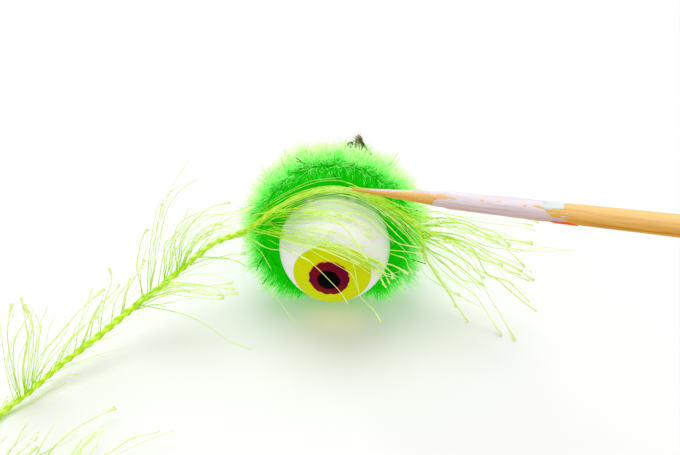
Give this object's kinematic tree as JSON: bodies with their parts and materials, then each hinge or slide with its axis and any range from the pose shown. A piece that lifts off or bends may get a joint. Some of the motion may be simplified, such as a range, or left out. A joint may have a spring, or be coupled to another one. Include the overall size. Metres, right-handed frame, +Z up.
{
  "type": "craft stick puppet",
  "caption": "One-eyed craft puppet: a painted ball eye nested in a wound chenille mane with a fringed yarn brow and tail, worked by a sharpened bamboo skewer.",
  "frame": {"origin": "middle of the skewer's sawn end, where a hand or a stand grips the puppet", "axes": "+Z up from the table under the head; the eye looks along -Y; the skewer leaves the head towards +X, -Y and +Z, and the yarn tail lies towards -X and -Y"},
  "size_m": [0.1641, 0.1184, 0.0938],
  "materials": {
    "white_eye_plastic": "glossy white moulded plastic",
    "yellow_paint": "brushed craft paint, yellow",
    "maroon_paint": "brushed craft paint, maroon",
    "black_paint": "brushed craft paint, black",
    "craft_glue": "milky hot glue",
    "green_chenille": "fluorescent green pile with dark tinsel flecks",
    "stem_wire": "cut, twisted wire, stained olive",
    "lime_yarn": "silky polyester eyelash yarn",
    "bamboo": "bare split bamboo",
    "lilac_paint": "dried, dry-brushed craft paint",
    "teal_paint": "dried craft paint",
    "red_paint": "dried craft paint"
  },
  "bodies": {
    "head": {"eye_front_shell": "white_eye_plastic", "eye_back_shell": "white_eye_plastic", "iris_disc": "yellow_paint", "iris_ring": "maroon_paint", "pupil_dot": "black_paint", "eye_glue_pad": "craft_glue", "mane_front_turn": "green_chenille", "mane_middle_turn": "green_chenille", "mane_back_turn": "green_chenille", "front_turn_wires": "stem_wire", "middle_turn_wires": "stem_wire", "back_turn_wires": "stem_wire", "wire_cut_end": "stem_wire", "yarn_brow": "lime_yarn", "yarn_glue_drops": "craft_glue", "yarn_tail": "lime_yarn", "yarn_coil": "lime_yarn"},
    "tip_bead": {"tip_glue_bead": "craft_glue"},
    "stick": {"skewer": "bamboo", "lilac_paint": "lilac_paint", "teal_dab": "teal_paint", "red_dab": "red_paint"}
  },
  "joints": [
    {"name": "stick_pull", "type": "slide", "parent": "head", "child": "tip_bead", "axis": [0.6353, -0.6555, 0.4083], "range_m": [0, 0.025]},
    {"name": "stick_twirl", "type": "hinge", "parent": "tip_bead", "child": "stick", "pos_m": [-0.09529, 0.09833, -0.06125], "axis": [0.6353, -0.6555, 0.4083], "continuous": true}
  ]
}
